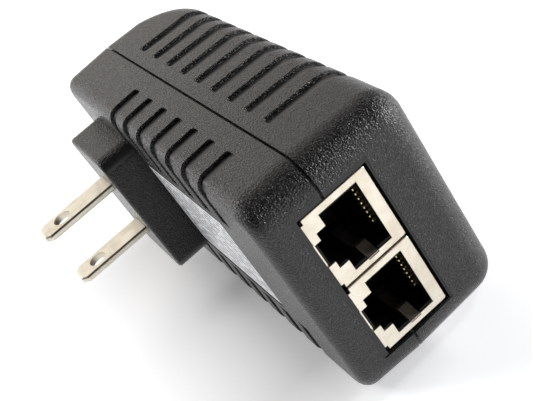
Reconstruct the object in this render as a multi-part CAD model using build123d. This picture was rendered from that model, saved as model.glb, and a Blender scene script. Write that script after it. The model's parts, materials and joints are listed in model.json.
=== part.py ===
"""Wall-plug PoE injector: two moulded shells, a two-blade plug, two shielded RJ45 jacks and the
offline power supply between them.

Frame, in millimetres: the blades point along -X, the two ports face -Y, and the unit lies on its
long -Z side. The origin is the middle of the plug block's end face, between the blades.
"""
from build123d import *
import math
import os

os.makedirs("parts", exist_ok=True)

# ---------------------------------------------------------------- driving dimensions
BLOCK_HEIGHT = 7.3          # plug block, from its end face to the rear face of the case
CASE_DEPTH = 32.0           # rear face to front face
SEAM_DEPTH = 12.1           # rear face to the joint between the shells
CASE_LENGTH = 92.2
PORT_OFFSET = 70.6          # blades to the port end
HALF_WIDTH = 22.9
WALL = 2.0
DRAFT = 2.0                 # degrees, both shells, away from the joint
CORNER_RADIUS = 6.0         # upright corners at the joint
FRONT_ROUND = 5.4           # front face to the sides
REAR_ROUND = 2.6            # rear face to the sides
FAR_END_ROUND = 15.0        # front face to the end away from the ports
FAR_END_LEAD = 0.6          # the rounding starts this far before its nominal place
FAR_END_DROP = 1.0          # and runs this far past it, towards the joint
FAR_END_OVER = 0.1          # where it ends this far outside the drafted wall
SEAM_GAP = 0.5

REAR_X = BLOCK_HEIGHT
SEAM_X = REAR_X + SEAM_DEPTH
FRONT_X = REAR_X + CASE_DEPTH
PORT_Y = -PORT_OFFSET
FAR_Y = CASE_LENGTH - PORT_OFFSET

# grooves moulded round the long sides: smooth floors, wider towards the flat faces
GROOVE_END_Z = 13.0         # where the grooves stop on the front and rear faces
FRONT_GROOVES = {
    "count": 9, "first": 4.55, "pitch": 7.06, "depth": 0.7,
    "closed_x": SEAM_X + 3.35, "open_x": FRONT_X + 2.0,
    "closed_width": 2.6, "open_width": 4.1,
    "far_corner": 0.5, "near_corner": 0.8, "edge_round": 0.2,
}
REAR_GROOVES = {
    "count": 7, "first": -9.45, "pitch": 7.09, "depth": 0.65,
    "closed_x": SEAM_X - 4.3, "open_x": REAR_X - 2.0,
    "closed_width": 2.7, "open_width": 3.5,
    "far_corner": 0.7, "near_corner": 0.9, "edge_round": 0.2,
}

# plug block and blades
BLOCK_LENGTH = 21.6
BLOCK_HALF_WIDTH = 15.5
BLOCK_CORNER = 3.4
BLADE_SPACING = 12.7
BLADE_WIDTH = 6.35
BLADE_THICKNESS = 1.5
BLADE_LENGTH = 17.2
BLADE_TIP_CUT = 1.3
BLADE_EDGE_ROUND = 0.2
BLADE_HOLE_RADIUS = 1.95
BLADE_HOLE_X = -11.9

# ports
JACK_PITCH = 15.86
JACK_SHIFT = -0.2           # middle of the pair along Z
JACK_WIDTH = 15.45
JACK_HEIGHT = 13.6
JACK_DEPTH = 16.5
JACK_FACE_Y = PORT_Y + 0.3
JACK_X = REAR_X + 6.6       # board side of the shields
JACK_Z = (JACK_SHIFT + JACK_PITCH / 2, JACK_SHIFT - JACK_PITCH / 2)
SHEET = 0.25                # shield metal
CONTACT_PITCH = 1.016
CONTACTS = 8
CUTOUT_X = (REAR_X + 6.55, REAR_X + 20.8)
CUTOUT_Z = (-16.5, 15.65)
RIM_X = (REAR_X + 5.6, REAR_X + 21.2)
RIM_HALF = 16.7
RIM_DEPTH = 0.4

# label
LABEL_Y = (-48.6, -13.6)
LABEL_HALF_WIDTH = 11.0
LABEL_RECESS = 0.3
LABEL_THICKNESS = 0.15

# circuit board
BOARD_TOP = JACK_X
BOARD_THICKNESS = 1.6
BOARD_BOTTOM = BOARD_TOP - BOARD_THICKNESS
BOARD_CLEARANCE = 0.7
POST_RADIUS = 1.8
POSTS = [(y, z) for y in (16.0, -47.5) for z in (-17.4, 17.4)]


# ---------------------------------------------------------------- helpers
def block(x, y, z):
    """A box between two corners, each axis given as (low, high)."""
    size = [axis[1] - axis[0] for axis in (x, y, z)]
    middle = [(axis[1] + axis[0]) / 2 for axis in (x, y, z)]
    return Pos(*middle) * Box(*size)


def along_x(radius, x, y=0.0, z=0.0):
    """A cylinder along X between two heights."""
    return Pos((x[0] + x[1]) / 2, y, z) * Rot(0, 90, 0) * Cylinder(radius, x[1] - x[0])


def along_y(radius, y, x=0.0, z=0.0):
    """A cylinder along Y."""
    return Pos(x, (y[0] + y[1]) / 2, z) * Rot(90, 0, 0) * Cylinder(radius, y[1] - y[0])


def along_z(radius, z, x=0.0, y=0.0):
    """A cylinder along Z."""
    return Pos(x, y, (z[0] + z[1]) / 2) * Cylinder(radius, z[1] - z[0])


def plate(points, z):
    """An outline of (x, y) points, extruded along Z between two heights."""
    face = make_face(Polyline(*points, close=True))
    return extrude(Pos(0, 0, z[0]) * face, z[1] - z[0])


def upright(points, x):
    """An outline of (y, z) points, extruded along X between two heights."""
    wire = Polyline(*[(x[0], y, z) for y, z in points], close=True)
    return extrude(make_face(wire), x[1] - x[0], dir=(1, 0, 0))


def write(node, *solids):
    """Write one node's solids to its STEP file."""
    shape = solids[0] if len(solids) == 1 else Compound(children=list(solids))
    shape.label = node
    export_step(shape, f"parts/{node}.step")


# ---------------------------------------------------------------- case form
def case_outline(inset, x):
    """The case's outline at the joint, moved in by inset, on a plane across X."""
    length = CASE_LENGTH - 2 * inset
    sketch = Rectangle(length, 2 * (HALF_WIDTH - inset))
    sketch = fillet(sketch.vertices(), CORNER_RADIUS - inset)
    middle = (PORT_Y + FAR_Y) / 2
    plane = Plane(origin=(x, middle, 0), x_dir=(0, 1, 0), z_dir=(1, 0, 0))
    return plane * sketch


def far_end_cutter(inset):
    """What lies outside the large rounding between the front face and the far end."""
    top = FRONT_X - inset
    low = FRONT_X - FAR_END_ROUND - FAR_END_DROP
    start_y = FAR_Y - FAR_END_ROUND - FAR_END_LEAD
    end_y = FAR_Y - inset + FAR_END_OVER
    half = math.sqrt(0.5)
    past = 6.0
    middle = (low + half * (top - low), start_y + half * (end_y - start_y))
    edges = [
        Line((top + past, start_y), (top, start_y)),
        ThreePointArc((top, start_y), middle, (low, end_y)),
        Line((low, end_y), (low, end_y + past)),
        Line((low, end_y + past), (top + past, end_y + past)),
        Line((top + past, end_y + past), (top + past, start_y)),
    ]
    face = make_face(edges)
    return extrude(Pos(0, 0, -2 * HALF_WIDTH) * face, 4 * HALF_WIDTH)


def front_form(inset=0.0):
    """The solid inside the front shell's surface, moved in by inset."""
    height = FRONT_X - inset - SEAM_X
    form = extrude(case_outline(inset, SEAM_X), height, dir=(1, 0, 0), taper=DRAFT)
    form = form - far_end_cutter(inset)
    top = form.faces().sort_by(Axis.X)[-1]
    return fillet(top.edges(), FRONT_ROUND - inset)


def rear_form(inset=0.0):
    """The solid inside the rear shell's surface, moved in by inset."""
    height = SEAM_X - REAR_X - inset
    form = extrude(case_outline(inset, SEAM_X), height, dir=(-1, 0, 0), taper=DRAFT)
    bottom = form.faces().sort_by(Axis.X)[0]
    return fillet(bottom.edges(), max(REAR_ROUND - inset, 0.8))


def groove_profile(groove, high):
    """One groove seen along Z: closed at one end, open past the flat face at the other."""
    closed, open_end = groove["closed_x"], groove["open_x"]
    near = high - groove["closed_width"]
    points = [(closed, high), (open_end, high), (open_end, high - groove["open_width"]), (closed, near)]
    face = make_face(Polyline(*points, close=True))
    corners = (("far_corner", high), ("near_corner", near))
    for radius, y in corners:
        corner = [v for v in face.vertices() if abs(v.X - closed) < 0.001 and abs(v.Y - y) < 0.001]
        face = fillet(corner, groove[radius])
    return face


def add_grooves(form, floor, groove):
    """Cut the grooves into both long sides of a form, and round their outer edges."""
    band = form - floor
    depth = groove["depth"]
    tall = HALF_WIDTH + 1.0 - GROOVE_END_Z
    highs = [groove["first"] - index * groove["pitch"] for index in range(groove["count"])]
    for high in highs:
        face = groove_profile(groove, high)
        for low_z in (GROOVE_END_Z, -GROOVE_END_Z - tall):
            form = form - (band & extrude(Pos(0, 0, low_z) * face, tall))
    rims = []
    for edge in form.edges():
        box = edge.bounding_box()
        slot = [h for h in highs if box.max.Y < h + 0.01 and box.min.Y > h - groove["open_width"] - 0.01]
        if slot and abs(box.min.Z + box.max.Z) > GROOVE_END_Z:
            middle = edge @ 0.5
            if Vertex(middle.X, middle.Y, middle.Z).distance_to(floor) > 0.85 * depth:
                rims.append(edge)
    return fillet(rims, groove["edge_round"])


# ---------------------------------------------------------------- shells
TONGUE_OUT = 1.05
TONGUE_HEIGHT = 1.4
REBATE_OUT = 1.0
REBATE_HEIGHT = 1.6


def port_cutout():
    """The opening for both jacks, and the shallow rim round it."""
    hole = block(CUTOUT_X, (PORT_Y - 1, PORT_Y + WALL + 1.5), CUTOUT_Z)
    rim = block(RIM_X, (PORT_Y - 1, PORT_Y + RIM_DEPTH), (-RIM_HALF, RIM_HALF))
    return [hole, rim]


def make_rear_shell():
    """Rear shell with its plug block, label recess, grooves, tongue and board posts."""
    outer = add_grooves(rear_form(), rear_form(REAR_GROOVES["depth"]), REAR_GROOVES)
    half_length = BLOCK_LENGTH / 2
    boss = block((0, REAR_X + WALL), (-half_length, half_length),
                 (-BLOCK_HALF_WIDTH, BLOCK_HALF_WIDTH))
    boss = fillet(boss.edges().filter_by(Axis.X), BLOCK_CORNER)
    boss = fillet(boss.faces().sort_by(Axis.X)[0].edges(), 0.7)
    shell = outer + boss
    shell = shell - rear_form(WALL)
    shell = shell - block((WALL, REAR_X + WALL + 0.1), (-8.5, 8.5), (-13.0, 13.0))
    for side in (-1, 1):
        middle = side * BLADE_SPACING / 2
        slot_y = BLADE_WIDTH / 2 + 0.12
        slot_z = BLADE_THICKNESS / 2 + 0.12
        shell = shell - block((-1, WALL + 1), (-slot_y, slot_y), (middle - slot_z, middle + slot_z))
    shell = shell - block((REAR_X - 1, REAR_X + LABEL_RECESS), (LABEL_Y[0] - 0.25, LABEL_Y[1] + 0.25),
                          (-LABEL_HALF_WIDTH - 0.25, LABEL_HALF_WIDTH + 0.25))
    shell = shell - block((SEAM_X - SEAM_GAP / 2, SEAM_X + 5), (-100, 100), (-40, 40))
    tongue_x = SEAM_X - 1.0
    tongue = extrude(case_outline(TONGUE_OUT, tongue_x), TONGUE_HEIGHT + 1.0, dir=(1, 0, 0))
    tongue = tongue - extrude(case_outline(WALL, tongue_x), TONGUE_HEIGHT + 1.0, dir=(1, 0, 0))
    shell = shell + tongue
    for y, z in POSTS:
        shell = shell + along_x(POST_RADIUS, (REAR_X + 1, BOARD_BOTTOM), y, z)
    for cut in port_cutout():
        shell = shell - cut
    return shell


def make_front_shell():
    """Front shell with its grooves, rebate and hold-down posts."""
    outer = add_grooves(front_form(), front_form(FRONT_GROOVES["depth"]), FRONT_GROOVES)
    shell = outer - front_form(WALL)
    shell = shell - block((SEAM_X - 1, SEAM_X + SEAM_GAP / 2), (-100, 100), (-40, 40))
    shell = shell - extrude(case_outline(REBATE_OUT, SEAM_X - 1), REBATE_HEIGHT + 1, dir=(1, 0, 0))
    for y, z in POSTS:
        post = along_x(POST_RADIUS, (BOARD_TOP, FRONT_X), y, z)
        inside = front_form(WALL / 2) + block((BOARD_TOP - 1, SEAM_X), (PORT_Y, FAR_Y), (-22, 22))
        shell = shell + (post & inside)
    for cut in port_cutout():
        shell = shell - cut
    return shell


# ---------------------------------------------------------------- plug
CARRIER_HALF_Y = 8.4
CARRIER_HALF_Z = 12.9
FLANGE_TOP = REAR_X + WALL + 1.0
TAIL_WIDTH = 3.0
TAIL_THICKNESS = 1.0
TAIL_TOP = BOARD_TOP + 1.6


def make_blade(z):
    """One plug blade: rounded tip, hole, locking shoulder and a solder tail."""
    half = BLADE_WIDTH / 2
    tip = -BLADE_LENGTH
    points = [(tip + BLADE_TIP_CUT, half), (tip, half - BLADE_TIP_CUT), (tip, BLADE_TIP_CUT - half),
              (tip + BLADE_TIP_CUT, -half), (4.5, -half), (4.5, -half - 0.9), (6.5, -half - 0.9),
              (6.5, half + 0.9), (4.5, half + 0.9), (4.5, half)]
    depth = (z - BLADE_THICKNESS / 2, z + BLADE_THICKNESS / 2)
    blade = plate(points, depth)
    ends = [e for e in blade.edges().filter_by(Axis.Z) if e.center().X < tip + 2]
    blade = fillet(ends, 0.7)
    tip_edges = [e for e in blade.edges() if e.center().X < tip + 0.05 and e.length > 1.8]
    blade = chamfer(tip_edges, 0.35)
    long_edges = [e for e in blade.edges().filter_by(Axis.X) if e.center().X < 0]
    blade = fillet(long_edges, BLADE_EDGE_ROUND)
    blade = blade - along_z(BLADE_HOLE_RADIUS, (depth[0] - 1, depth[1] + 1), BLADE_HOLE_X, 0)
    tail_z = (z - TAIL_THICKNESS / 2, z + TAIL_THICKNESS / 2)
    tail = block((6.4, TAIL_TOP), (-TAIL_WIDTH / 2, TAIL_WIDTH / 2), tail_z)
    return blade + tail


def make_blade_carrier(blades):
    """Moulded insert that locks both blades inside the plug block."""
    body = block((WALL, REAR_X + WALL), (-CARRIER_HALF_Y, CARRIER_HALF_Y),
                 (-CARRIER_HALF_Z, CARRIER_HALF_Z))
    flange = block((REAR_X + WALL, FLANGE_TOP), (-10.5, 10.5), (-15.5, 15.5))
    flange = fillet(flange.edges().filter_by(Axis.X), 2.0)
    carrier = body + flange
    for blade in blades:
        carrier = carrier - blade
    return carrier


def make_blade_terminals():
    """A tinned collar round each blade tail on top of the board."""
    collars = []
    for side in (-1, 1):
        z = side * BLADE_SPACING / 2
        ring = block((BOARD_TOP, TAIL_TOP - 0.4), (-2.6, 2.6), (z - 1.2, z + 1.2))
        ring = fillet(ring.edges().filter_by(Axis.X), 0.5)
        hole = block((BOARD_TOP - 1, TAIL_TOP + 1), (-TAIL_WIDTH / 2, TAIL_WIDTH / 2),
                     (z - TAIL_THICKNESS / 2, z + TAIL_THICKNESS / 2))
        collars.append(ring - hole)
    return collars


def make_label():
    """Printed rating label in its recess on the rear face."""
    x = (REAR_X + LABEL_RECESS - LABEL_THICKNESS, REAR_X + LABEL_RECESS)
    sheet = block(x, LABEL_Y, (-LABEL_HALF_WIDTH, LABEL_HALF_WIDTH))
    return fillet(sheet.edges().filter_by(Axis.X), 1.2)


# ---------------------------------------------------------------- jacks
# heights above the rear face of the steps in a port's opening, and their half widths
MAIN_X = (10.0, 17.85)
MAIN_HALF = 6.4
STEP_X = 8.1
STEP_HALF = 4.0
LATCH_HALF = 2.48
LATCH_FLOOR = 7.25          # housing floor under the latch slot
CAVITY_HALF = 5.95
CAVITY_DEPTH = 13.0
HOUSING_TOP = 18.9
SPRING_X = (12.8, 14.9)     # side grounding spring
SPRING_THICKNESS = 0.2
SPRING_KNEES = [(0.02, 0.0), (0.4, 0.0), (1.9, 0.35), (3.3, 0.95), (4.2, 0.75), (5.0, 0.2)]
CONTACT_WIRE = 0.36
PIVOT_X = 17.55             # bend of the contact wires
PIVOT_DEPTH = 3.1
CONTACT_RUN = 7.4
CONTACT_DROP = 2.7
LEAD_X = (19.0, 19.36)
LEAD_BACK = 15.6


def port_profile(half, step_half, latch_half, low, top):
    """The stepped opening of one port as (x, z) corners above the rear face."""
    right = [(low, latch_half), (STEP_X, latch_half), (STEP_X, step_half), (MAIN_X[0], step_half),
             (MAIN_X[0], half), (top, half)]
    left = [(x, -z) for x, z in reversed(right)]
    return [(REAR_X + x, z) for x, z in right + left]


def port_hole(z, half, step_half, latch_half, low, top, depth):
    """A cutter with the port's profile, from one depth to another."""
    points = port_profile(half, step_half, latch_half, low, top)
    y = JACK_FACE_Y + depth[0]
    wire = Polyline(*[(x, y, z + side) for x, side in points], close=True)
    return extrude(make_face(wire), depth[1] - depth[0], dir=(0, 1, 0))


def make_shield(z):
    """Folded sheet-metal shield with a stepped opening, open at the rear of its board side."""
    half = JACK_WIDTH / 2
    x = (JACK_X, JACK_X + JACK_HEIGHT)
    y = (JACK_FACE_Y, JACK_FACE_Y + JACK_DEPTH)
    can = block(x, y, (z - half, z + half))
    can = fillet(can.edges().filter_by(Axis.Y), 0.45)
    front = can.faces().sort_by(Axis.Y)[0]
    can = fillet(front.edges(), 0.2)
    inside = block((x[0] + SHEET, x[1] - SHEET), (y[0] + SHEET, y[1] - SHEET),
                   (z - half + SHEET, z + half - SHEET))
    can = can - inside
    can = can - port_hole(z, MAIN_HALF, STEP_HALF, LATCH_HALF, 6.0, MAIN_X[1], (-1, SHEET + 0.1))
    for side in (-1, 1):
        corner = sorted((z + side * (half - 0.95), z + side * (half + 1)))
        can = can - block((x[0] - 1, x[0] + 0.6), (y[0] - 1, y[0] + 3.0), corner)
    can = can - block((x[0] - 1, x[0] + SHEET + 0.1), (y[0] + 1.0, y[1] + 1),
                      (z - half + 0.8, z + half - 0.8))
    root = (REAR_X + SPRING_X[0] - 0.05, REAR_X + SPRING_X[1] + 0.05)
    can = can - block(root, (y[0] - 1, y[0] + SHEET + 0.1), (z - MAIN_HALF - 0.35, z - MAIN_HALF + 0.1))
    for side in (-1, 1):
        wall = z + side * (half - SHEET / 2)
        can = can + block((BOARD_BOTTOM - 1.4, x[0] + 1.0), (y[0] + 9.0, y[0] + 10.2),
                          (wall - SHEET / 2, wall + SHEET / 2))
    return can


def make_housing(z):
    """Black moulded insert of a jack, with its stepped cavity, spring slot and wire comb."""
    half = JACK_WIDTH / 2 - SHEET - 0.1
    y = (JACK_FACE_Y + SHEET + 0.05, JACK_FACE_Y + LEAD_BACK - 0.5)
    x = (JACK_X + SHEET + 0.05, REAR_X + HOUSING_TOP)
    body = block(x, y, (z - half, z + half))
    body = body - port_hole(z, CAVITY_HALF, STEP_HALF - 0.3, LATCH_HALF - 0.2, LATCH_FLOOR, MAIN_X[1],
                            (0, CAVITY_DEPTH))
    low, high = REAR_X + SPRING_X[0] - 0.25, REAR_X + SPRING_X[1] + 0.25
    body = body - block((low, high), (y[0] - 1, JACK_FACE_Y + 11.5), (z - half - 1, z - CAVITY_HALF + 0.5))
    for contact_z in contact_places(z):
        wide = CONTACT_WIRE / 2 + 0.06
        body = body - block((REAR_X + MAIN_X[1] - 0.5, x[1] + 1),
                            (JACK_FACE_Y + 2.6, JACK_FACE_Y + 3.7), (contact_z - wide, contact_z + wide))
    for side in (-1, 1):
        body = body + along_x(0.8, (BOARD_BOTTOM - 1.0, x[0] + 0.5), JACK_FACE_Y + 6.5, z + side * 5.7)
    return body


def contact_places(z):
    """Positions of a jack's eight contacts along Z."""
    first = (CONTACTS - 1) / 2
    return [z + (index - first) * CONTACT_PITCH for index in range(CONTACTS)]


def make_contacts(z):
    """Eight sprung wires that slope back into the cavity from their bend."""
    thick = CONTACT_WIRE
    x = REAR_X + PIVOT_X
    y = JACK_FACE_Y + PIVOT_DEPTH
    run = math.hypot(CONTACT_RUN, CONTACT_DROP)
    lean_x = CONTACT_RUN / run * thick / 2
    lean_y = CONTACT_DROP / run * thick / 2
    end_x, end_y = x - CONTACT_DROP, y + CONTACT_RUN
    points = [(x + lean_x, y + lean_y), (x - lean_x, y - lean_y),
              (end_x - lean_x, end_y - lean_y), (end_x + 0.25, end_y + 0.9),
              (end_x + 0.25 + thick, end_y + 0.9), (end_x + lean_x, end_y + lean_y)]
    wires = []
    for contact_z in contact_places(z):
        wire = plate(points, (contact_z - thick / 2, contact_z + thick / 2))
        wires.append(wire + along_z(thick / 2, (contact_z - thick / 2, contact_z + thick / 2), x, y))
    return wires


def make_leads(z):
    """Fixed part of each contact: over the housing, down its back and through the board."""
    front = JACK_FACE_Y + PIVOT_DEPTH
    low, high = REAR_X + LEAD_X[0], REAR_X + LEAD_X[1]
    back = JACK_FACE_Y + LEAD_BACK
    leads = []
    for contact_z in contact_places(z):
        side = (contact_z - CONTACT_WIRE / 2, contact_z + CONTACT_WIRE / 2)
        lead = block((REAR_X + PIVOT_X + CONTACT_WIRE / 2 + 0.04, high), (front, front + 0.36), side)
        lead = lead + block((low, high), (front, back), side)
        lead = lead + block((BOARD_BOTTOM - 1.2, high), (back - 0.36, back), side)
        leads.append(lead)
    return leads


def make_ground_spring(z):
    """Side spring of a shield: a tongue that bends into the port to touch the plug's shell."""
    wall = z - MAIN_HALF - SPRING_THICKNESS
    outer = [(JACK_FACE_Y + depth, wall + rise) for depth, rise in SPRING_KNEES]
    inner = [(y, wall_z + SPRING_THICKNESS) for y, wall_z in reversed(outer)]
    return upright(outer + inner, (REAR_X + SPRING_X[0], REAR_X + SPRING_X[1]))


# ---------------------------------------------------------------- circuit board and its parts
LEAD_RADIUS = 0.35


def make_board(soldered):
    """Circuit board, cut for the blade tails, shield tabs, pegs, jack leads and soldered parts."""
    length = CASE_LENGTH - 2 * (WALL + BOARD_CLEARANCE)
    sketch = Rectangle(length, 2 * (HALF_WIDTH - WALL - BOARD_CLEARANCE))
    sketch = fillet(sketch.vertices(), CORNER_RADIUS - WALL - BOARD_CLEARANCE + 1.0)
    plane = Plane(origin=(BOARD_BOTTOM, (PORT_Y + FAR_Y) / 2, 0), x_dir=(0, 1, 0), z_dir=(1, 0, 0))
    board = extrude(plane * sketch, BOARD_THICKNESS, dir=(1, 0, 0))
    through = (BOARD_BOTTOM - 1, BOARD_TOP + 1)
    for side in (-1, 1):
        z = side * BLADE_SPACING / 2
        board = board - block(through, (-TAIL_WIDTH / 2 - 0.1, TAIL_WIDTH / 2 + 0.1),
                              (z - TAIL_THICKNESS / 2 - 0.1, z + TAIL_THICKNESS / 2 + 0.1))
    for z in JACK_Z:
        for side in (-1, 1):
            tab = z + side * (JACK_WIDTH / 2 - SHEET / 2)
            board = board - block(through, (JACK_FACE_Y + 8.8, JACK_FACE_Y + 10.4),
                                  (tab - 0.14, tab + 0.14))
            board = board - along_x(0.9, through, JACK_FACE_Y + 6.5, z + side * 5.7)
        last = JACK_FACE_Y + LEAD_BACK
        for contact_z in contact_places(z):
            board = board - block(through, (last - 0.42, last + 0.06),
                                  (contact_z - 0.24, contact_z + 0.24))
    for part in soldered:
        board = board - part
    return board


def pin(y, z):
    """A component lead from just under the board to its top face."""
    return along_x(LEAD_RADIUS, (BOARD_BOTTOM - 1.0, BOARD_TOP + 0.6), y, z)


def can_capacitor(radius, height, y, z):
    """A radial electrolytic: crimped can standing on the board, with its two leads."""
    base = BOARD_TOP + 0.5
    can = along_x(radius, (base, base + height), y, z)
    can = fillet(can.edges().sort_by(Axis.X)[-1], 0.5)
    groove = along_x(radius + 1, (base + 1.2, base + 1.8), y, z)
    groove = groove - along_x(radius - 0.35, (base, base + 3), y, z)
    cross = block((base + height - 0.2, base + height + 1), (y - radius * 0.6, y + radius * 0.6),
                  (z - 0.15, z + 0.15))
    cross = cross + block((base + height - 0.2, base + height + 1), (y - 0.15, y + 0.15),
                          (z - radius * 0.6, z + radius * 0.6))
    legs = [pin(y, z + side * radius * 0.4) for side in (-1, 1)]
    return can - groove - cross + legs[0] + legs[1]


def box_part(y, z, height, pins):
    """A moulded box component standing on the board, with leads at the given places."""
    body = block((BOARD_TOP + 0.3, BOARD_TOP + height), y, z)
    body = fillet(body.edges().filter_by(Axis.X), 0.6)
    for place in pins:
        body = body + pin(*place)
    return body


def disc_part(radius, thick, y, z, spread):
    """A coated disc standing on edge, with two leads, facing Y."""
    height = BOARD_TOP + radius + 1.2
    disc = along_y(radius, (y - thick / 2, y + thick / 2), height, z)
    disc = fillet(disc.edges().filter_by(GeomType.CIRCLE), thick * 0.35)
    for side in (-1, 1):
        disc = disc + along_x(LEAD_RADIUS, (BOARD_BOTTOM - 1.0, height), y, z + side * spread)
    return disc


TRANSFORMER_Y = (-33.0, -13.0)
TRANSFORMER_HALF_Z = 9.5
TRANSFORMER_HEIGHT = 17.0


def make_transformer():
    """Flyback transformer: two ferrite E halves, a bobbin with pins, and a taped winding."""
    y0, y1 = TRANSFORMER_Y
    middle = (y0 + y1) / 2
    base = BOARD_TOP + 2.2
    top = base + TRANSFORMER_HEIGHT - 2.2
    half_z = TRANSFORMER_HALF_Z
    leg = 3.2
    frame_y = (middle - 2.9, middle + 2.9)
    core = block((base + 1.6, top), frame_y, (-half_z, half_z))
    window = block((base + 1.6 + leg, top - leg), (y0, y1), (-half_z + 3.0, half_z - 3.0))
    core = core - window + block((base + 1.6, top), frame_y, (-2.6, 2.6))
    halves = [core & block((base, (base + top) / 2 + 0.8), (y0, y1), (-half_z, half_z)),
              core & block(((base + top) / 2 + 0.8, top), (y0, y1), (-half_z, half_z))]
    spool_low, spool_high = base + 1.6 + leg, top - leg
    sleeve = block((spool_low, spool_high), (middle - 3.7, middle + 3.7), (-3.4, 3.4))
    hole = block((base, top), (middle - 2.95, middle + 2.95), (-2.65, 2.65))
    wide = half_z - 3.2
    cheeks = []
    for low in (spool_low, spool_high - 0.8):
        cheeks.append(block((low, low + 0.8), (y0 + 2, y1 - 2), (-wide, wide)))
    bobbin = sleeve + cheeks[0] + cheeks[1]
    for foot_y in ((y0, y0 + 4.0), (y1 - 4.0, y1)):
        bobbin = bobbin + block((BOARD_TOP + 0.2, spool_low + 0.8), foot_y, (-wide, wide))
    bobbin = bobbin - hole
    for y in (y0 + 1.4, y1 - 1.4):
        for index in range(4):
            bobbin = bobbin + pin(y, (index - 1.5) * 3.5)
    coil = block((spool_low + 0.8, spool_high - 0.8), (y0 + 2.8, y1 - 2.8), (-wide + 0.3, wide - 0.3))
    coil = fillet(coil.edges().filter_by(Axis.X), 2.0)
    coil = coil - block((base, top), (middle - 3.7, middle + 3.7), (-3.4, 3.4))
    return halves, bobbin, coil


CHOKE_Y, CHOKE_Z = 14.2, -1.0


def make_choke():
    """Common-mode choke: a ferrite frame core with a winding on each leg, on its leads."""
    base = BOARD_TOP + 1.2
    outer = block((base, base + 12.0), (CHOKE_Y - 2.0, CHOKE_Y + 2.0), (CHOKE_Z - 6.5, CHOKE_Z + 6.5))
    outer = fillet(outer.edges().filter_by(Axis.Y), 1.0)
    window = block((base + 2.8, base + 9.2), (CHOKE_Y - 3, CHOKE_Y + 3), (CHOKE_Z - 3.9, CHOKE_Z + 3.9))
    core = outer - window
    windings = []
    for side in (-1, 1):
        z = CHOKE_Z + side * 5.2
        coil = block((base + 3.0, base + 9.0), (CHOKE_Y - 3.1, CHOKE_Y + 3.1), (z - 2.4, z + 2.4))
        coil = fillet(coil.edges().filter_by(Axis.X), 1.0)
        coil = coil - core
        for place in (-1, 1):
            leg = along_x(LEAD_RADIUS, (BOARD_BOTTOM - 1.0, base + 3.2), CHOKE_Y + place * 2.6, z)
            coil = coil + leg
        windings.append(coil)
    return core, windings


HEATSINK_PRIMARY = {"y": (-8.0, 5.5), "z": 17.2}
HEATSINK_SECONDARY = {"y": (-45.0, -32.5), "z": -17.2}
SINK_THICKNESS = 1.6
SINK_HEIGHT = 19.0
SCREW_RADIUS = 1.4


def make_heatsink(place, inward):
    """Aluminium plate standing on the board with a foot peg, a screw hole and an upper fin."""
    y0, y1 = place["y"]
    z = place["z"]
    plate_z = sorted((z, z + inward * SINK_THICKNESS))
    body = block((BOARD_TOP + 0.4, BOARD_TOP + SINK_HEIGHT), place["y"], plate_z)
    fin_z = sorted((z, z + inward * 5.0))
    body = body + block((BOARD_TOP + SINK_HEIGHT - 1.4, BOARD_TOP + SINK_HEIGHT), place["y"], fin_z)
    middle = (y0 + y1) / 2
    centre_z = z + inward * SINK_THICKNESS / 2
    for y in (y0 + 1.5, y1 - 1.5):
        body = body + along_x(0.6, (BOARD_BOTTOM - 0.8, BOARD_TOP + 0.6), y, centre_z)
    hole_z = (min(plate_z) - 1, max(plate_z) + 1)
    return body - along_z(SCREW_RADIUS, hole_z, BOARD_TOP + 12.5, middle)


def make_power_package(place, inward):
    """Plastic power package bolted to its heatsink: body, metal tab and three leads."""
    middle = sum(place["y"]) / 2
    face = place["z"] + inward * SINK_THICKNESS
    tab_z = sorted((face, face + inward * 1.2))
    body_z = sorted((face, face + inward * 3.4))
    body = block((BOARD_TOP + 3.4, BOARD_TOP + 10.2), (middle - 4.0, middle + 4.0), body_z)
    tab = block((BOARD_TOP + 10.2, BOARD_TOP + 15.2), (middle - 4.0, middle + 4.0), tab_z)
    hole_z = (min(tab_z) - 1, max(tab_z) + 1)
    tab = tab - along_z(SCREW_RADIUS + 0.1, hole_z, BOARD_TOP + 12.5, middle)
    package = body + tab
    lead_z = face + inward * 1.9
    for offset in (-2.0, 0.0, 2.0):
        package = package + along_x(0.35, (BOARD_BOTTOM - 1.0, BOARD_TOP + 3.6), middle + offset, lead_z)
    return package


def make_screw(place, inward):
    """Pan-head screw that clamps a package to its heatsink."""
    middle = sum(place["y"]) / 2
    x = BOARD_TOP + 12.5
    face = place["z"] + inward * (SINK_THICKNESS + 1.2)
    head_z = sorted((face, face + inward * 1.6))
    shank_z = sorted((face, place["z"]))
    head = along_z(2.2, head_z, x, middle)
    outer_edge = [e for e in head.edges().filter_by(GeomType.CIRCLE)
                  if abs(e.center().Z - (face + inward * 1.6)) < 0.01]
    head = fillet(outer_edge, 0.7)
    slot_z = sorted((face + inward * 0.9, face + inward * 2))
    slot = block((x - 1.5, x + 1.5), (middle - 0.3, middle + 0.3), slot_z)
    slot = slot + block((x - 0.3, x + 0.3), (middle - 1.5, middle + 1.5), slot_z)
    return head - slot + along_z(SCREW_RADIUS - 0.04, shank_z, x, middle)


def make_fuse():
    """Glass input fuse lying along Y, with end caps and leads."""
    x, z = BOARD_TOP + 3.4, -17.0
    y0, y1 = 0.0, 12.0
    tube = along_y(1.9, (y0 + 2.2, y1 - 2.2), x, z)
    caps = []
    for low, high, leg in ((y0, y0 + 2.2, y0 + 0.6), (y1 - 2.2, y1, y1 - 0.6)):
        cap = along_y(2.2, (low, high), x, z)
        caps.append(cap + along_x(LEAD_RADIUS, (BOARD_BOTTOM - 1.0, x), leg, z))
    return tube, caps


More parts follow.
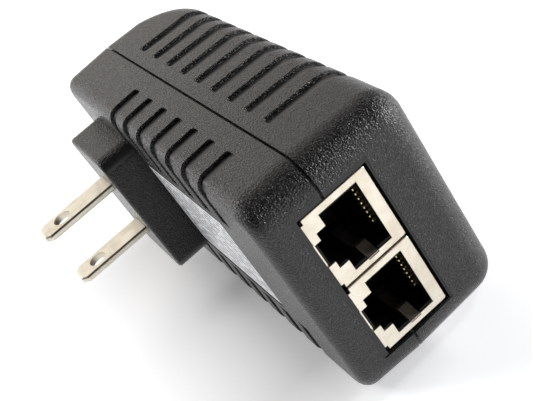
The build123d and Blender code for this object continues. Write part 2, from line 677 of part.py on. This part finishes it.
def make_axial_resistors():
    """Three axial resistors standing between the transformer and the bulk capacitor."""
    places = [(-9.6, -8.0), (-9.6, -4.4), (-9.6, -0.8)]
    parts = []
    for y, z in places:
        body = along_x(1.2, (BOARD_TOP + 1.0, BOARD_TOP + 7.2), y, z)
        body = fillet(body.edges().filter_by(GeomType.CIRCLE), 0.4)
        hook = along_x(0.3, (BOARD_BOTTOM - 1.0, BOARD_TOP + 8.6), y, z)
        hook = hook + along_y(0.3, (y - 0.3, y + 2.0), BOARD_TOP + 8.3, z)
        hook = hook + along_x(0.3, (BOARD_BOTTOM - 1.0, BOARD_TOP + 8.6), y + 1.8, z)
        parts.append(body + hook)
    return parts


def make_output_choke():
    """Drum-core output choke: ferrite drum, enamelled winding."""
    y, z = -48.4, 6.0
    base = BOARD_TOP
    drum = along_x(4.0, (base, base + 1.4), y, z) + along_x(1.8, (base, base + 9.0), y, z)
    drum = drum + along_x(4.0, (base + 7.6, base + 9.0), y, z)
    winding = along_x(3.6, (base + 1.4, base + 7.6), y, z) - along_x(1.8, (base, base + 9.0), y, z)
    return drum, winding


def chip(y, z, height):
    """A dual-in-line chip with its two rows of leads."""
    body = block((BOARD_TOP + 0.5, BOARD_TOP + height), y, z)
    body = chamfer(body.faces().sort_by(Axis.X)[-1].edges(), 0.3)
    rows = int((y[1] - y[0]) // 2.54)
    middle = (y[0] + y[1]) / 2
    for index in range(rows):
        place = middle + (index - (rows - 1) / 2) * 2.54
        for side, edge in ((-1, z[0]), (1, z[1])):
            leg_z = sorted((edge - side * 0.2, edge + side * 0.35))
            body = body + block((BOARD_BOTTOM - 0.8, BOARD_TOP + 1.7),
                                (place - 0.25, place + 0.25), leg_z)
    return body


def make_barrier():
    """Insulating sheet standing on the board between the mains side and the output side."""
    return block((BOARD_TOP, BOARD_TOP + 20.0), (-33.8, -33.4), (-11.5, 18.0))


# ---------------------------------------------------------------- build every node
write("rear_shell", make_rear_shell())
write("front_shell", make_front_shell())
write("rating_label", make_label())

upper_blade = make_blade(BLADE_SPACING / 2)
lower_blade = make_blade(-BLADE_SPACING / 2)
write("plug_blade_upper", upper_blade)
write("plug_blade_lower", lower_blade)
write("blade_carrier", make_blade_carrier([upper_blade, lower_blade]))
write("blade_terminals", *make_blade_terminals())

for name, jack_z in zip(("lan_jack", "poe_jack"), JACK_Z):
    write(f"{name}_shield", make_shield(jack_z))
    write(f"{name}_housing", make_housing(jack_z))
    write(f"{name}_contacts", *make_contacts(jack_z))
    write(f"{name}_leads", *make_leads(jack_z))
    write(f"{name}_ground_spring", make_ground_spring(jack_z))

core_halves, bobbin, coil = make_transformer()
write("transformer_core", *core_halves)
write("transformer_winding", coil)
choke_core, choke_windings = make_choke()
write("choke_core", choke_core)
fuse_tube, fuse_caps = make_fuse()
write("fuse_tube", fuse_tube)
write("heatsink_screws", make_screw(HEATSINK_PRIMARY, -1), make_screw(HEATSINK_SECONDARY, 1))
drum_core, drum_winding = make_output_choke()
write("output_choke_core", drum_core)
write("output_choke_winding", drum_winding)
write("barrier_sheet", make_barrier())

SOLDERED = {
    "transformer_bobbin": [bobbin],
    "choke_windings": choke_windings,
    "fuse_caps": fuse_caps,
    "bulk_capacitor": [can_capacitor(5.0, 19.0, 0.0, 0.0)],
    "output_capacitors": [can_capacitor(4.0, 14.0, -38.5, z) for z in (11.0, 2.4)],
    "x_capacitor": [box_part((9.5, 18.5), (8.0, 14.5), 12.0, [(14.0, 9.2), (14.0, 13.3)])],
    "bridge_rectifier": [box_part((-8.0, -4.6), (-19.0, -13.0), 9.0, [(-6.3, -17.5), (-6.3, -14.5)])],
    "y_capacitor": [disc_part(4.0, 3.4, -21.5, -14.2, 2.5)],
    "surge_varistor": [disc_part(4.4, 3.0, 4.6, -11.0, 2.6)],
    "inrush_thermistor": [disc_part(3.6, 3.2, -4.0, -9.4, 1.9)],
    "optocoupler": [chip((-29.0, -22.8), (12.0, 17.6), 4.0)],
    "control_chip": [chip((-19.6, -12.0), (12.0, 17.6), 3.8)],
    "primary_heatsink": [make_heatsink(HEATSINK_PRIMARY, -1)],
    "switch_transistor": [make_power_package(HEATSINK_PRIMARY, -1)],
    "secondary_heatsink": [make_heatsink(HEATSINK_SECONDARY, 1)],
    "output_diode": [make_power_package(HEATSINK_SECONDARY, 1)],
    "snubber_resistors": make_axial_resistors(),
}
for node, solids in SOLDERED.items():
    write(node, *solids)
write("circuit_board", make_board([solid for solids in SOLDERED.values() for solid in solids]))
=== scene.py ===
import bpy, json
from mathutils import Matrix, Vector


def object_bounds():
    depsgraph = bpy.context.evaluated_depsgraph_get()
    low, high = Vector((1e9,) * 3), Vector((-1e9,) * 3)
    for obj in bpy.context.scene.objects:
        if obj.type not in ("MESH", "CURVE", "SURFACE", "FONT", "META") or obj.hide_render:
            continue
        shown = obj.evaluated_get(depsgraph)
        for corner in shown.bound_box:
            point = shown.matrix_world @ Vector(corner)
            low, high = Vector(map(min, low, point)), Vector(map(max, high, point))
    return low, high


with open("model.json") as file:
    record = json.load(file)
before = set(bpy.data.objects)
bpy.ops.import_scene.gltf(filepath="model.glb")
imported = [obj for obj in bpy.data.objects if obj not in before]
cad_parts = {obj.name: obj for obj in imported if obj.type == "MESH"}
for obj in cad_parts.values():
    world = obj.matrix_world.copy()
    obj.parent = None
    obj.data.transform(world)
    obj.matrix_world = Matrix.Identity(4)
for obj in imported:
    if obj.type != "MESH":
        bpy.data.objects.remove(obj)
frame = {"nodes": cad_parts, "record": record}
cad_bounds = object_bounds()
scene = bpy.context.scene
scene.view_settings.view_transform = "Standard"

MM_PER_M = 1000.0
METAL = 1.0
# a Mix node's sockets, which share their names, so they go by number: factor, then A and B
FACTOR = 0
VALUES, COLOURS = (2, 3), (6, 7)
VALUE_OUT, COLOUR_OUT = 0, 2


# ---------------------------------------------------------------- material helpers
class Nodes:
    """A small wrapper that builds one material's node tree."""

    def __init__(self, name):
        self.mat = bpy.data.materials.new(name)
        self.mat.use_nodes = True
        self.tree = self.mat.node_tree
        self.shader = self.tree.nodes["Principled BSDF"]
        self.object = self.add("ShaderNodeTexCoord").outputs["Object"]

    def add(self, kind, **props):
        """A new node with some of its properties set."""
        node = self.tree.nodes.new(kind)
        for key, value in props.items():
            setattr(node, key, value)
        return node

    def link(self, a, b):
        self.tree.links.new(a, b)

    def put(self, socket, value):
        """Feed an input from another node, or set it to a constant."""
        if isinstance(value, bpy.types.NodeSocket):
            self.link(value, socket)
        else:
            socket.default_value = value

    def set(self, **values):
        """Set inputs of the shader by name, with underscores in place of spaces."""
        for key, value in values.items():
            self.put(self.shader.inputs[key.replace("_", " ")], value)

    def math(self, operation, a, b=0.0):
        """One step of arithmetic."""
        node = self.add("ShaderNodeMath", operation=operation)
        self.put(node.inputs[0], a)
        self.put(node.inputs[1], b)
        return node.outputs[0]

    def product(self, first, *others):
        """Everything multiplied together."""
        for other in others:
            first = self.math("MULTIPLY", first, other)
        return first

    def noise(self, scale, detail=4.0, rough=0.55, stretch=None, distortion=0.0):
        """Cloudy noise on the object's own coordinates, stretched along its axes if asked."""
        node = self.add("ShaderNodeTexNoise")
        for key, value in (("Scale", scale), ("Detail", detail), ("Roughness", rough),
                           ("Distortion", distortion)):
            node.inputs[key].default_value = value
        place = self.object
        if stretch:
            mapping = self.add("ShaderNodeMapping")
            mapping.inputs["Scale"].default_value = stretch
            self.link(self.object, mapping.inputs["Vector"])
            place = mapping.outputs["Vector"]
        self.link(place, node.inputs["Vector"])
        return node.outputs["Fac"]

    def voronoi(self, scale):
        """Distance to the nearest of many scattered points: small round cells."""
        node = self.add("ShaderNodeTexVoronoi")
        node.inputs["Scale"].default_value = scale
        self.link(self.object, node.inputs["Vector"])
        return node.outputs["Distance"]

    def ramp(self, value, low, high, out_low=0.0, out_high=1.0):
        """Map low..high to out_low..out_high, held at both ends."""
        node = self.add("ShaderNodeMapRange")
        self.put(node.inputs["Value"], value)
        for key, limit in (("From Min", low), ("From Max", high),
                           ("To Min", out_low), ("To Max", out_high)):
            node.inputs[key].default_value = limit
        return node.outputs["Result"]

    def spread(self, noise, out_low, out_high, low=0.3, high=0.7):
        """Stretch a noise over a range of values."""
        return self.ramp(noise, low, high, out_low, out_high)

    def mix(self, factor, *colours):
        """Mix two colours, each an RGB tuple or another node's output."""
        node = self.add("ShaderNodeMix", data_type="RGBA")
        self.put(node.inputs[FACTOR], factor)
        for socket, colour in zip(COLOURS, colours):
            self.put(node.inputs[socket], (*colour, 1.0) if isinstance(colour, tuple) else colour)
        return node.outputs[COLOUR_OUT]

    def blend(self, factor, *values):
        """Mix two plain values."""
        node = self.add("ShaderNodeMix", data_type="FLOAT")
        self.put(node.inputs[FACTOR], factor)
        for socket, value in zip(VALUES, values):
            self.put(node.inputs[socket], value)
        return node.outputs[VALUE_OUT]

    def bump(self, height, strength, distance):
        """Tilt the surface by a height field of this depth in metres."""
        node = self.add("ShaderNodeBump")
        self.put(node.inputs["Height"], height)
        self.put(node.inputs["Strength"], strength)
        node.inputs["Distance"].default_value = distance
        self.link(node.outputs["Normal"], self.shader.inputs["Normal"])

    def xyz(self):
        """The point's place on the object in millimetres."""
        node = self.add("ShaderNodeSeparateXYZ")
        self.link(self.object, node.inputs[0])
        return [self.math("MULTIPLY", out, MM_PER_M) for out in node.outputs]

    def inside(self, value, low, high):
        """One between two limits, nought outside them."""
        above = self.math("GREATER_THAN", value, low)
        below = self.math("LESS_THAN", value, high)
        return self.product(above, below)


# ---------------------------------------------------------------- case plastic
# grooves of each shell in mm: Y of the first one's far edge, then X and width at both ends
GROOVES = {
    "front": {"first": 4.55, "pitch": 7.06, "count": 9,
              "closed_x": 22.75, "closed_width": 2.6, "open_x": 41.3, "open_width": 4.1},
    "rear": {"first": -9.45, "pitch": 7.09, "count": 7,
             "closed_x": 15.1, "closed_width": 2.7, "open_x": 5.3, "open_width": 3.5},
}
GROOVE_END_Z = 13.0
GROOVE_EDGE = 0.06
RIM_X = (12.9, 28.5)        # the smooth ledge round the two ports
RIM_HALF = 16.7
PORT_END_Y = -70.1
BLOCK_EDGE_X = (6.5, 9.0)   # the plug block lies below this, the rest of the case above

FLOOR_COLOUR = (0.038, 0.0375, 0.037)
RIM_COLOUR = (0.007, 0.007, 0.007)
TEXTURE_DARK = (0.002, 0.002, 0.0022)
TEXTURE_LIGHT = (0.08, 0.079, 0.078)
BLOCK_SPECKS = 0.3          # how much of the specks the plug block shows
SPECK_RANGE = (0.36, 0.68)
SPECK_POWER = 3.0           # above 1 this makes the pale specks fewer and smaller
CELL_SCALE, FINE_SCALE, SPECK_SCALE = 3000.0, 3700.0, 3300.0
COARSE_SCALE, BROAD_SCALE = 1300.0, 60.0
CELL_SHARE, FINE_SHARE, COARSE_SHARE = 0.5, 0.8, 0.3
TEXTURE_DEPTH = 0.0002
FLOOR_BUMP = 0.05


def groove_floors(n, part, x, y, z):
    """One on the smooth floors of the grooves of a shell, nought elsewhere."""
    groove = GROOVES[part]
    closed = groove["closed_x"]
    along = n.math("DIVIDE", n.math("SUBTRACT", groove["first"], y), groove["pitch"])
    step = n.product(n.math("FRACT", along), groove["pitch"])
    width = n.ramp(x, closed, groove["open_x"], groove["closed_width"], groove["open_width"])
    across = n.product(n.math("GREATER_THAN", step, GROOVE_EDGE), n.math("LESS_THAN", step, width))
    beyond = n.math("GREATER_THAN" if part == "front" else "LESS_THAN", x, closed)
    on_side = n.math("GREATER_THAN", n.math("ABSOLUTE", z), GROOVE_END_Z)
    return n.product(across, n.inside(along, 0.0, groove["count"]), beyond, on_side)


def port_rim(n, x, y, z):
    """One on the smooth ledge round the ports, nought elsewhere."""
    beside = n.math("LESS_THAN", n.math("ABSOLUTE", z), RIM_HALF)
    return n.product(n.inside(x, *RIM_X), beside, n.math("LESS_THAN", y, PORT_END_Y))


def case_plastic(name, part):
    """Black moulded plastic: spark-eroded grain, smooth in the groove floors and port rim."""
    n = Nodes(name)
    x, y, z = n.xyz()
    rim = port_rim(n, x, y, z)
    smooth = n.math("MAXIMUM", groove_floors(n, part, x, y, z), rim)
    fine = n.noise(FINE_SCALE, 2.0, 0.6)
    grain = n.math("ADD", n.product(n.voronoi(CELL_SCALE), CELL_SHARE), n.product(fine, FINE_SHARE))
    grain = n.math("ADD", grain, n.product(n.noise(COARSE_SCALE, 2.0, 0.6), COARSE_SHARE))
    specks = n.math("POWER", n.ramp(n.noise(SPECK_SCALE, 3.0, 0.7), *SPECK_RANGE), SPECK_POWER)
    specks = n.product(specks, n.ramp(x, *BLOCK_EDGE_X, BLOCK_SPECKS, 1.0))
    textured = n.mix(specks, TEXTURE_DARK, TEXTURE_LIGHT)
    textured_gloss = n.spread(fine, 0.16, 0.36)
    smooth_gloss = n.spread(n.noise(BROAD_SCALE, 3.0, 0.5), 0.3, 0.4)
    n.set(Base_Color=n.mix(smooth, textured, n.mix(rim, FLOOR_COLOUR, RIM_COLOUR)),
          Roughness=n.blend(smooth, textured_gloss, smooth_gloss), Specular_IOR_Level=0.5)
    n.bump(grain, n.blend(smooth, 1.0, FLOOR_BUMP), TEXTURE_DEPTH)
    return n.mat


# ---------------------------------------------------------------- other materials
GRAIN_DEPTH = 0.00002
BROAD_SHARE = 0.06          # scale of the colour mottle against the scale of the grain
LEAST_ROUGHNESS = 0.03
LINE_GLOSS = 0.06           # rolling marks on plated sheet: change of roughness, and bump
LINE_BUMP = 0.12


def simple(name, dark, light, rough, metallic=0.0, scale=900.0, bump=0.0, stretch=None,
           spread=0.12, **extra):
    """A material with mottled colour, uneven gloss and a fine surface grain."""
    n = Nodes(name)
    grain = n.noise(scale, 5.0, 0.6, stretch)
    broad = n.noise(scale * BROAD_SHARE, 3.0, 0.5)
    gloss = n.spread(grain, max(rough - spread, LEAST_ROUGHNESS), min(rough + spread, 1.0))
    n.set(Base_Color=n.mix(n.spread(broad, 0.0, 1.0), dark, light), Metallic=metallic,
          Roughness=gloss, **extra)
    if bump:
        n.bump(grain, bump, GRAIN_DEPTH)
    return n.mat


def plated(name, dark, light, rough, stain):
    """Nickel-plated sheet: rolling marks, faint stains and uneven gloss."""
    n = Nodes(name)
    lines = n.noise(1400.0, 4.0, 0.6, (1.0, 0.12, 1.0))
    cloud = n.noise(260.0, 5.0, 0.65, distortion=0.4)
    marks = n.spread(lines, rough - LINE_GLOSS, rough + LINE_GLOSS)
    stains = n.ramp(cloud, 0.4, 0.75, 0.0, stain)
    n.set(Base_Color=n.mix(n.ramp(cloud, 0.42, 0.72), light, dark), Metallic=METAL,
          Roughness=n.math("ADD", marks, stains))
    n.bump(lines, LINE_BUMP, GRAIN_DEPTH)
    return n.mat


PRINT_PITCH = 1.45          # label print in mm: line pitch, then the printed area
PRINT_Z = (-9.6, 9.6)
PRINT_Y = (-47.2, -15.0)
LINE_SHARE = (0.25, 0.68)   # the part of each line's pitch that is printed
WORD_GAPS = 0.46            # the noise below this leaves a gap between two words
INK = (0.13, 0.14, 0.16)


def label_film(name):
    """White printed film: broken grey rules that stand for small print."""
    n = Nodes(name)
    _, y, z = n.xyz()
    line = n.inside(n.math("FRACT", n.math("DIVIDE", z, PRINT_PITCH)), *LINE_SHARE)
    words = n.math("GREATER_THAN", n.noise(480.0, 2.0, 0.7, (1.0, 1.0, 1.6)), WORD_GAPS)
    ink = n.product(line, words, n.inside(z, *PRINT_Z), n.inside(y, *PRINT_Y))
    paper = n.noise(2000.0, 3.0, 0.6)
    base = n.mix(n.spread(paper, 0.0, 1.0), (0.86, 0.87, 0.89), (0.93, 0.94, 0.96))
    n.set(Base_Color=n.mix(ink, base, INK), Roughness=n.spread(paper, 0.3, 0.42))
    return n.mat


PAINTED_SHADE_Y = (-66.95, -66.5)    # the bend of the wires keeps its gold, the part behind it is painted dark: painted shade inside the port
PAINTED_SHADE_EDGE = 0.15            # how far the edge of the painted shade wanders


def contact_wire(name):
    """Gold-plated spring wire, with painted shade darkening it towards its free end inside the
    port.
    """
    n = Nodes(name)
    _, y, _ = n.xyz()
    wander = n.spread(n.noise(900.0), -PAINTED_SHADE_EDGE, PAINTED_SHADE_EDGE)
    painted_shade = n.ramp(n.math("ADD", y, wander), *PAINTED_SHADE_Y)
    # the dark colour is painted shade, not the wire's own colour
    n.set(Base_Color=n.mix(painted_shade, (0.95, 0.74, 0.36), (0.05, 0.04, 0.025)), Metallic=METAL,
          Roughness=n.spread(n.noise(1600.0), 0.2, 0.34))
    return n.mat


# darker and lighter tone, roughness, and what else sets each material apart
LOOKS = {
    "insert_plastic": dict(dark=(0.002, 0.002, 0.002), light=(0.004, 0.004, 0.004), rough=0.5,
                           scale=1500, bump=0.15, Specular_IOR_Level=0.25),
    "gold": dict(dark=(0.83, 0.55, 0.2), light=(0.95, 0.72, 0.34), rough=0.22,
                 metallic=METAL, scale=1200, bump=0.05),
    "solder": dict(dark=(0.55, 0.55, 0.53), light=(0.75, 0.75, 0.72), rough=0.3,
                   metallic=METAL, scale=1000, bump=0.1),
    "board_laminate": dict(dark=(0.02, 0.1, 0.035), light=(0.03, 0.15, 0.05), rough=0.35,
                           scale=700, bump=0.1),
    "ferrite": dict(dark=(0.025, 0.025, 0.027), light=(0.05, 0.05, 0.052), rough=0.6, bump=0.3),
    "winding_tape": dict(dark=(0.6, 0.42, 0.05), light=(0.75, 0.55, 0.1), rough=0.25,
                         scale=500, bump=0.1),
    "copper_wire": dict(dark=(0.55, 0.2, 0.08), light=(0.72, 0.32, 0.14), rough=0.28,
                        metallic=METAL, scale=1600, bump=0.4, stretch=(6.0, 1.0, 1.0)),
    "fuse_glass": dict(dark=(0.85, 0.9, 0.9), light=(0.92, 0.95, 0.95), rough=0.08,
                       scale=400, spread=0.04, Transmission_Weight=0.85, IOR=1.5),
    "barrier_film": dict(dark=(0.66, 0.66, 0.62), light=(0.76, 0.76, 0.72), rough=0.5, bump=0.1),
    "capacitor_sleeve": dict(dark=(0.01, 0.012, 0.03), light=(0.016, 0.018, 0.045), rough=0.25,
                             scale=600),
    "film_capacitor": dict(dark=(0.6, 0.42, 0.04), light=(0.72, 0.52, 0.07), rough=0.3, scale=600),
    "package_epoxy": dict(dark=(0.014, 0.014, 0.014), light=(0.024, 0.024, 0.024), rough=0.5,
                          scale=1400, bump=0.25),
    "blue_coating": dict(dark=(0.02, 0.07, 0.28), light=(0.03, 0.1, 0.36), rough=0.2,
                         scale=500, bump=0.08),
    "green_coating": dict(dark=(0.02, 0.13, 0.05), light=(0.03, 0.18, 0.07), rough=0.25,
                          scale=500, bump=0.08),
    "heatsink_aluminium": dict(dark=(0.6, 0.61, 0.62), light=(0.76, 0.77, 0.78), rough=0.32,
                               metallic=METAL, bump=0.15, stretch=(0.1, 1.0, 1.0)),
    "resistor_coating": dict(dark=(0.4, 0.33, 0.2), light=(0.5, 0.42, 0.28), rough=0.35, scale=500),
}
by_slot = {name: simple(name, **look) for name, look in LOOKS.items()}
by_slot["shield_metal"] = plated("shield_metal", (0.72, 0.64, 0.51), (0.84, 0.78, 0.67), 0.3, 0.15)
by_slot["blade_metal"] = plated("blade_metal", (0.62, 0.57, 0.47), (0.74, 0.69, 0.59), 0.36, 0.1)
by_slot["label_film"] = label_film("label_film")

# pieces that need a material of their own
by_node = {"rear_shell": case_plastic("case_plastic_rear", "rear"),
           "front_shell": case_plastic("case_plastic_front", "front")}
wire = contact_wire("contact_wire")
spring_metal = simple("spring_metal", (0.36, 0.31, 0.26), (0.52, 0.46, 0.39), 0.42, 0.55, bump=0.1)
for port in ("lan", "poe"):
    by_node[f"{port}_jack_contacts"] = wire
    by_node[f"{port}_jack_ground_spring"] = spring_metal

slots = {part["node"]: part["material_slot"] for part in frame["record"]["subparts"]}
for name, obj in frame["nodes"].items():
    obj.data.materials.clear()
    obj.data.materials.append(by_node.get(name) or by_slot[slots[name]])


# ---------------------------------------------------------------- floor
FLOOR_SIZE = 30.0
FLOOR_GAP = 0.0002
# the floor glows faintly, so that it stays white, but less so beside the plug block and label,
# which paints a shadow there (mm)
SHADE_X = ((-24.0, 5.0), (24.0, 20.0))
SHADE_Y = ((-78.0, -52.0), (50.0, 20.0))
OPEN_GLOW, SHADE_GLOW = 0.68, 0.15

low, high = cad_bounds
bpy.ops.mesh.primitive_plane_add(size=FLOOR_SIZE, location=(0, 0, low.z - FLOOR_GAP))
floor = bpy.context.object
floor.name = "floor"
n = Nodes("floor_paper")
tone = n.noise(3.0, 2.0, 0.5)
floor_x, floor_y, _ = n.xyz()
# painted shadow: one in the region beside the plug block and label, where the glow drops
shade = n.product(*[n.ramp(floor_x, *edge) for edge in SHADE_X],
                  *[n.ramp(floor_y, *edge) for edge in SHADE_Y])
n.set(Base_Color=n.mix(tone, (0.9, 0.9, 0.9), (0.93, 0.93, 0.93)),
      Roughness=n.spread(tone, 0.85, 0.95), Specular_IOR_Level=0.1,
      Emission_Color=(0.97, 0.98, 1.0, 1.0),
      Emission_Strength=n.ramp(shade, 0.0, 1.0, OPEN_GLOW, SHADE_GLOW))
floor.data.materials.append(n.mat)


# ---------------------------------------------------------------- studio walls
# direction of each bright part, the cosines where it starts and is full, and its strength
BRIGHT_PARTS = (((0.0, 1.0, 0.1), 0.6, 0.97, 0.6), ((0.0, 0.8, 0.6), 0.7, 0.97, 0.75))
DIM_WALL = 0.03
SEEN_WALL = 1.1             # the walls look plain white, whatever light they give
WALL_COLOUR = (1.0, 0.955, 0.905, 1.0)

world = bpy.data.worlds.new("studio")
scene.world = world
world.use_nodes = True
sky = world.node_tree
sky_coord = sky.nodes.new("ShaderNodeTexCoord")
glow = None
for toward, start, full, strength in BRIGHT_PARTS:
    facing = sky.nodes.new("ShaderNodeVectorMath")
    facing.operation = "DOT_PRODUCT"
    facing.inputs[1].default_value = Vector(toward).normalized()
    sky.links.new(sky_coord.outputs["Generated"], facing.inputs[0])
    lobe = sky.nodes.new("ShaderNodeMapRange")
    lobe.interpolation_type = "SMOOTHSTEP"
    lobe.inputs["From Min"].default_value = start
    lobe.inputs["From Max"].default_value = full
    lobe.inputs["To Max"].default_value = strength
    sky.links.new(facing.outputs["Value"], lobe.inputs["Value"])
    total = sky.nodes.new("ShaderNodeMath")
    total.operation = "ADD"
    total.inputs[1].default_value = DIM_WALL
    if glow:
        sky.links.new(glow, total.inputs[1])
    sky.links.new(lobe.outputs["Result"], total.inputs[0])
    glow = total.outputs["Value"]
ray = sky.nodes.new("ShaderNodeLightPath")
seen = sky.nodes.new("ShaderNodeMix")
seen.data_type = "FLOAT"
sky.links.new(ray.outputs["Is Camera Ray"], seen.inputs[FACTOR])
sky.links.new(glow, seen.inputs[VALUES[0]])
seen.inputs[VALUES[1]].default_value = SEEN_WALL
background = sky.nodes["Background"]
background.inputs["Color"].default_value = WALL_COLOUR
sky.links.new(seen.outputs[VALUE_OUT], background.inputs["Strength"])


# ---------------------------------------------------------------- lights and camera
# place in m, power in W and side length in m of each square softbox
SOFTBOXES = {
    "right_softbox": ((0.93, -0.36, 0.08), 11.0, 0.22),
    "front_softbox": ((0.1, -0.95, 0.25), 0.5, 0.3),
    "right_top_softbox": ((0.8, -0.1, 0.5), 1.6, 0.1),
    "left_back_softbox": ((-0.6, 0.6, 0.5), 4.4, 0.3),
}
CAMERA_PLACE = (-0.01215, -0.2036, 0.1071)
CAMERA_RIGHT = Vector((0.7433, -0.4504, -0.4947))
CAMERA_UP = Vector((0.6515, 0.3194, 0.6881))
CAMERA_LENS = 73.31
SENSOR_WIDTH = 36.0
CLIP_START = 0.005

centre = (low + high) / 2
for name, (place, power, side) in SOFTBOXES.items():
    light = bpy.data.lights.new(name, "AREA")
    light.energy = power
    light.shape = "RECTANGLE"
    light.size = light.size_y = side
    lamp = bpy.data.objects.new(name, light)
    scene.collection.objects.link(lamp)
    lamp.location = place
    lamp.rotation_mode = "QUATERNION"
    lamp.rotation_quaternion = (centre - Vector(place)).to_track_quat("-Z", "Y")

camera_data = bpy.data.cameras.new("camera")
camera_data.lens = CAMERA_LENS
camera_data.sensor_width = SENSOR_WIDTH
camera_data.clip_start = CLIP_START
camera = bpy.data.objects.new("camera", camera_data)
scene.collection.objects.link(camera)
back = CAMERA_RIGHT.cross(CAMERA_UP).normalized()
turn = Matrix((CAMERA_RIGHT.normalized(), back.cross(CAMERA_RIGHT).normalized(), back)).transposed()
camera.location = CAMERA_PLACE
camera.rotation_mode = "QUATERNION"
camera.rotation_quaternion = turn.to_quaternion()
scene.camera = camera
